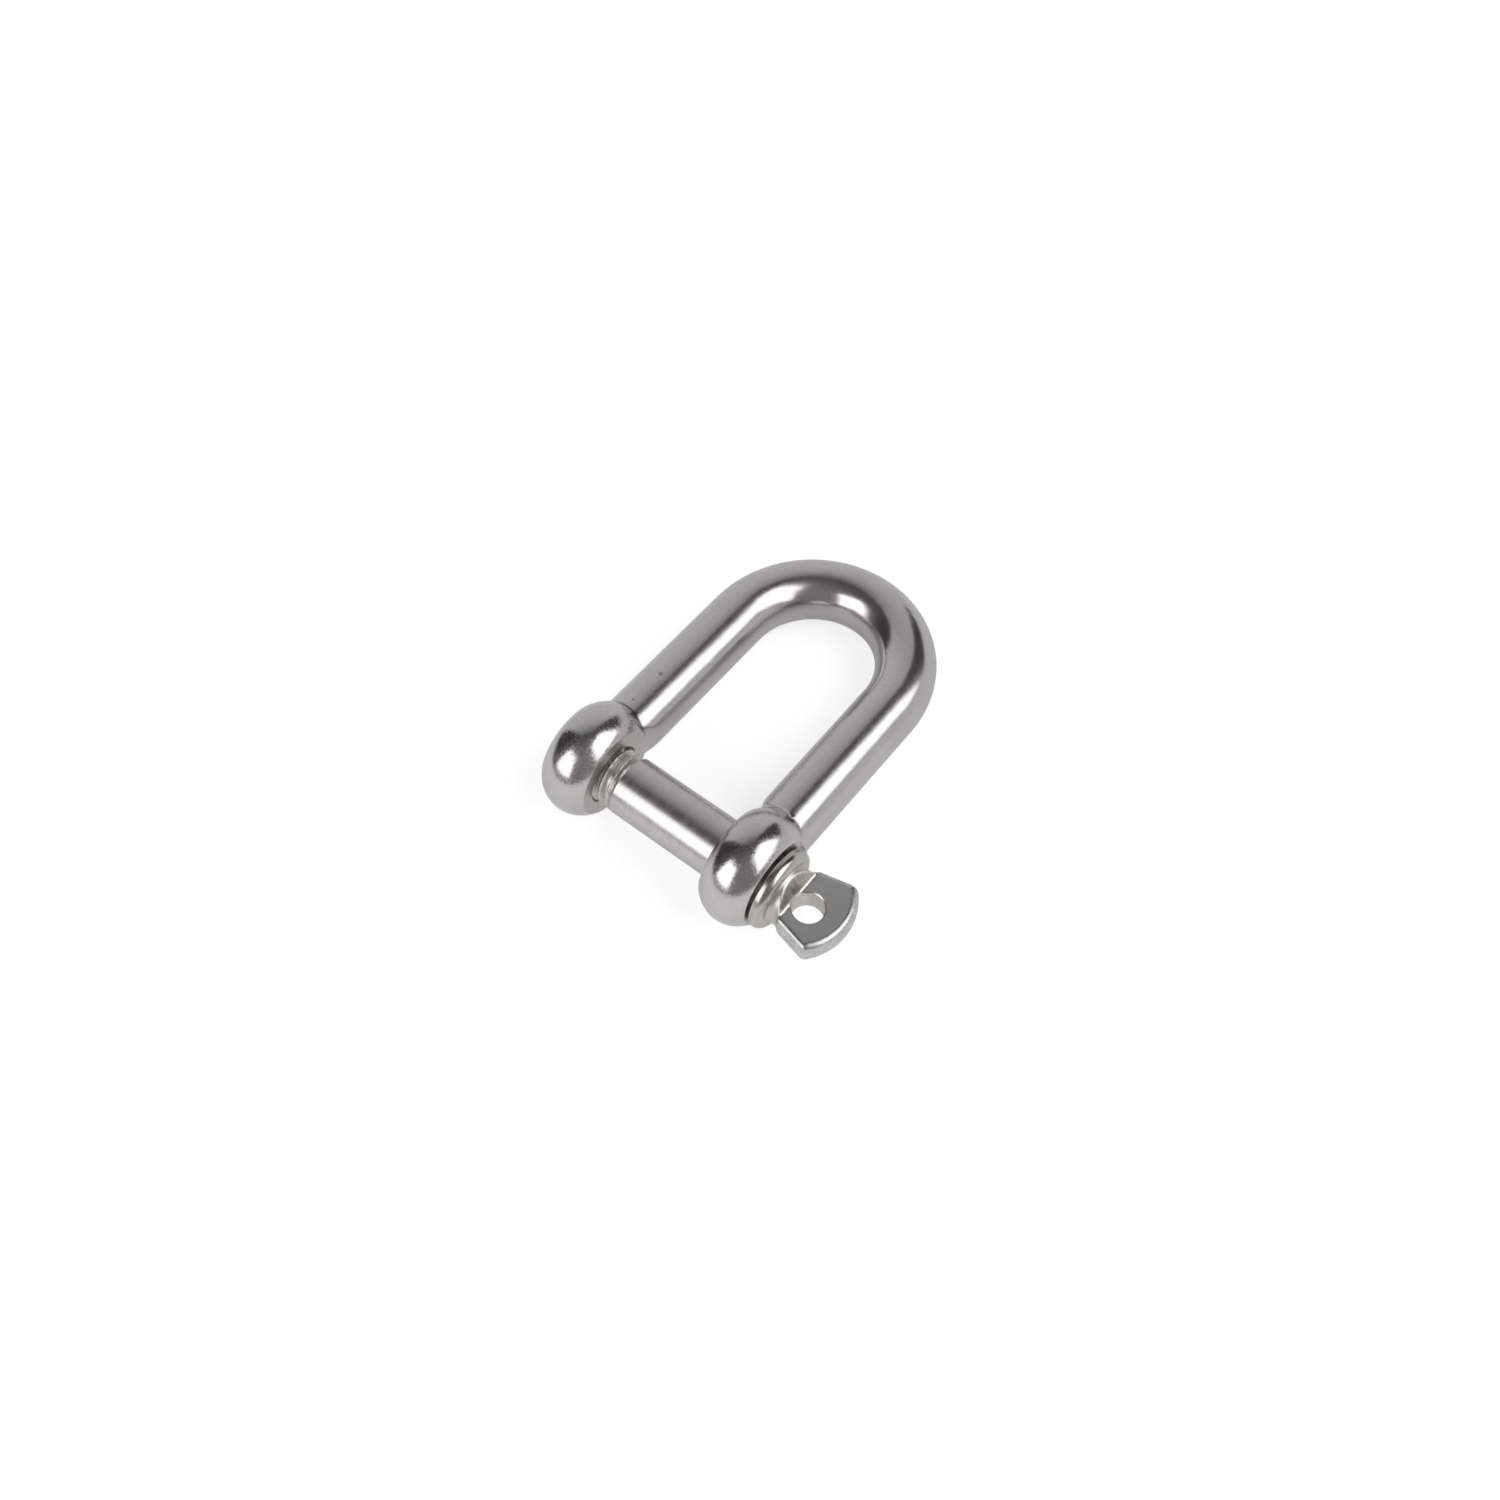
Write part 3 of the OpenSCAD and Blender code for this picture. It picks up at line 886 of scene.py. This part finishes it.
# Lengths in the studio are metres. Azimuth 0 is the front, and 90 the pin's head.
studio = {
    "middleY": 0.02,         # lights and cards stand round this place
    "floorSize": 8.0,
    "floor": "#EEEEEE",
    "floorShown": 0.62,      # lifts it to white for the camera, but for the shadow
    "floorMirrored": (0.125, 0.29),  # a little of it in the metal, behind the object and in front of it
    "mirroredOver": (-0.05, 0.03),  # it changes between these distances towards an azimuth
    "mirroredTo": 15,
    "room": "#FFF7F8",       # faintly warm
    "roomGlow": (0.048, 0.24),  # dark and light side of the room
    "roomOver": (-0.4, 0.7),  # share of a direction that points to an azimuth, from dark to light
    "roomTo": 45,
    "softBoxes": {
        "front_box": {
            "azimuth": -16, "away": 0.5, "width": 0.45, "low": 0.115, "high": 0.67, "glow": 1.65},
        "side_box": {
            "azimuth": 112, "away": 0.5, "width": 0.68, "low": 0.222, "high": 1.22, "glow": 1.65},
    },
    "cards": {
        "back_card": {
            "azimuth": -134, "away": 0.6, "width": 1.04, "high": 2.6, "glow": 0.62, "fade": 1.3},
        "low_card": {
            "azimuth": 140, "away": 0.6, "width": 1.2, "high": 0.16, "glow": 0.62, "fade": 2.0},
        "front_card": {
            "azimuth": -14, "away": 0.52, "width": 0.62, "high": 0.9, "glow": 0.33, "fade": 2.0},
        "side_card": {
            "azimuth": 114, "away": 0.9, "width": 1.27, "high": 2.85, "glow": 0.34, "fade": 4.5},
    },
}
middle = Vector((0.0, studio["middleY"], cadLow.z))


def outward(azimuth, elevation):
    # Direction from the object.
    a, e = np.radians([azimuth, elevation])
    return Vector((np.sin(a) * np.cos(e), -np.cos(a) * np.cos(e), np.sin(e)))


def softBox(name, azimuth, away, width, low, high, glow):
    # An upright soft light that shows in the metal, but not to the camera. Its power is its glow times pi
    # times its area.
    lamp = bpy.data.lights.new(name, "AREA")
    lamp.shape, lamp.size, lamp.size_y = "RECTANGLE", width, high - low
    lamp.energy = glow * np.pi * width * (high - low)
    box = bpy.data.objects.new(name, lamp)
    bpy.context.scene.collection.objects.link(box)
    back = outward(azimuth, 0)
    box.location = middle + back * away + Vector((0, 0, (low + high) / 2))
    box.rotation_euler = back.to_track_quat("Z", "Y").to_euler()
    box.visible_camera = False


def paleCard(name, azimuth, away, width, high, glow, fade):
    # An upright card that shows only in the metal. It shines with glow / (1 + (height / fade) squared).
    back = outward(azimuth, 0)
    side = Vector((back.y, -back.x, 0)) * width / 2
    foot = middle + back * away
    top = foot + Vector((0, 0, high))
    corners = [foot - side, foot + side, top + side, top - side]
    card = addObject(name, np.array([corner[:] for corner in corners]), [[0, 1, 2, 3]])
    material, tree = newMaterial(name)
    place = addNode(tree, "ShaderNodeTexCoord")
    part = addNode(tree, "ShaderNodeSeparateXYZ", Vector=(place, "Object"))
    rise = addNode(tree, "ShaderNodeMapRange", {"clamp": False}, Value=(part, 2), From_Min=middle.z,
                   From_Max=middle.z + fade)
    fall = addNode(tree, "ShaderNodeMath", {"operation": "MULTIPLY_ADD"}, i0=(rise, 0), i1=(rise, 0),
                   i2=1.0)
    shine = addNode(tree, "ShaderNodeMath", {"operation": "DIVIDE"}, i0=glow, i1=(fall, 0))
    shader = addNode(tree, "ShaderNodeEmission", Strength=(shine, 0))
    addNode(tree, "ShaderNodeOutputMaterial", Surface=(shader, 0))
    card.data.materials.append(material)
    card.visible_camera = False
    card.visible_shadow = False


def layFloor():
    # A pale matt floor that keeps the shadow, lifted to white for the camera.
    half = studio["floorSize"] / 2
    corners = np.array([[-half, -half, 0], [half, -half, 0], [half, half, 0], [-half, half, 0]])
    floor = addObject("floor", corners + [0, 0, cadLow.z], [[0, 1, 2, 3]])
    material, tree = newMaterial("studio_floor")
    path = addNode(tree, "ShaderNodeLightPath")
    mirrored = addNode(tree, "ShaderNodeMath", {"operation": "MAXIMUM"}, i0=(path, "Is Glossy Ray"),
                       i1=(path, "Is Transmission Ray"))
    shown = addNode(tree, "ShaderNodeMath", {"operation": "MULTIPLY"}, i0=(path, "Is Camera Ray"),
                    i1=studio["floorShown"])
    place = addNode(tree, "ShaderNodeTexCoord")
    towards = addNode(tree, "ShaderNodeVectorMath", {"operation": "DOT_PRODUCT"}, i0=(place, "Object"),
                      i1=tuple(outward(studio["mirroredTo"], 0)))
    (low, high), (back, front) = studio["mirroredOver"], studio["floorMirrored"]
    gleam = addNode(tree, "ShaderNodeMapRange", Value=(towards, "Value"), From_Min=low, From_Max=high,
                    To_Min=back, To_Max=front)
    lift = addNode(tree, "ShaderNodeMath", {"operation": "MULTIPLY_ADD"}, i0=(mirrored, 0), i1=(gleam, 0),
                   i2=(shown, 0))
    glow = addNode(tree, "ShaderNodeEmission", Strength=(lift, 0))
    matt = addNode(tree, "ShaderNodeBsdfDiffuse", Color=linear(studio["floor"]))
    both = addNode(tree, "ShaderNodeAddShader", i0=(matt, 0), i1=(glow, 0))
    addNode(tree, "ShaderNodeOutputMaterial", Surface=(both, 0))
    floor.data.materials.append(material)


def darkRoom():
    # A dim room, a little lighter on the camera's side. The camera itself sees a plain pale grey.
    world = bpy.data.worlds.new("studio")
    bpy.context.scene.world = world
    world.use_nodes = True
    tree = world.node_tree
    tree.nodes.clear()
    place = addNode(tree, "ShaderNodeTexCoord")
    towards = addNode(tree, "ShaderNodeVectorMath", {"operation": "DOT_PRODUCT"}, i0=(place, "Generated"),
                      i1=tuple(outward(studio["roomTo"], 0)))
    (low, high), (dark, light) = studio["roomOver"], studio["roomGlow"]
    grey = addNode(tree, "ShaderNodeMapRange", Value=(towards, "Value"), From_Min=low, From_Max=high,
                   To_Min=dark, To_Max=light)
    room = addNode(tree, "ShaderNodeBackground", Color=linear(studio["room"]), Strength=(grey, 0))
    plain = addNode(tree, "ShaderNodeBackground", Strength=1.0)
    path = addNode(tree, "ShaderNodeLightPath")
    both = addNode(tree, "ShaderNodeMixShader", i0=(path, "Is Camera Ray"), i1=(room, 0), i2=(plain, 0))
    addNode(tree, "ShaderNodeOutputWorld", Surface=(both, 0))


def placeCamera():
    # The photograph's view: a plain lens over the pin's head end, a little tilted.
    shot = {
        "azimuth": 40.06,
        "elevation": 60.48,
        "roll": -2.77,
        "distance": 242.74,   # millimetres
        "aim": (2.97, 16.04, 0.0),
        "lens": 37.58,
        "sensor": 36.0,
        "clipStart": 0.01,    # metres
    }
    data = bpy.data.cameras.new("camera")
    data.lens, data.sensor_width, data.clip_start = shot["lens"], shot["sensor"], shot["clipStart"]
    camera = bpy.data.objects.new("camera", data)
    bpy.context.scene.collection.objects.link(camera)
    back = outward(shot["azimuth"], shot["elevation"])
    camera.location = (Vector(shot["aim"]) + back * shot["distance"]) * mm
    turned = back.to_track_quat("Z", "Y").to_matrix() @ Matrix.Rotation(np.radians(shot["roll"]), 3, "Z")
    camera.rotation_euler = turned.to_euler()
    bpy.context.scene.camera = camera


layFloor()
darkRoom()
for name, box in studio["softBoxes"].items():
    softBox(name, **box)
for name, card in studio["cards"].items():
    paleCard(name, **card)
placeCamera()
bpy.context.scene.view_settings.view_transform = "Standard"
print("studio ready")
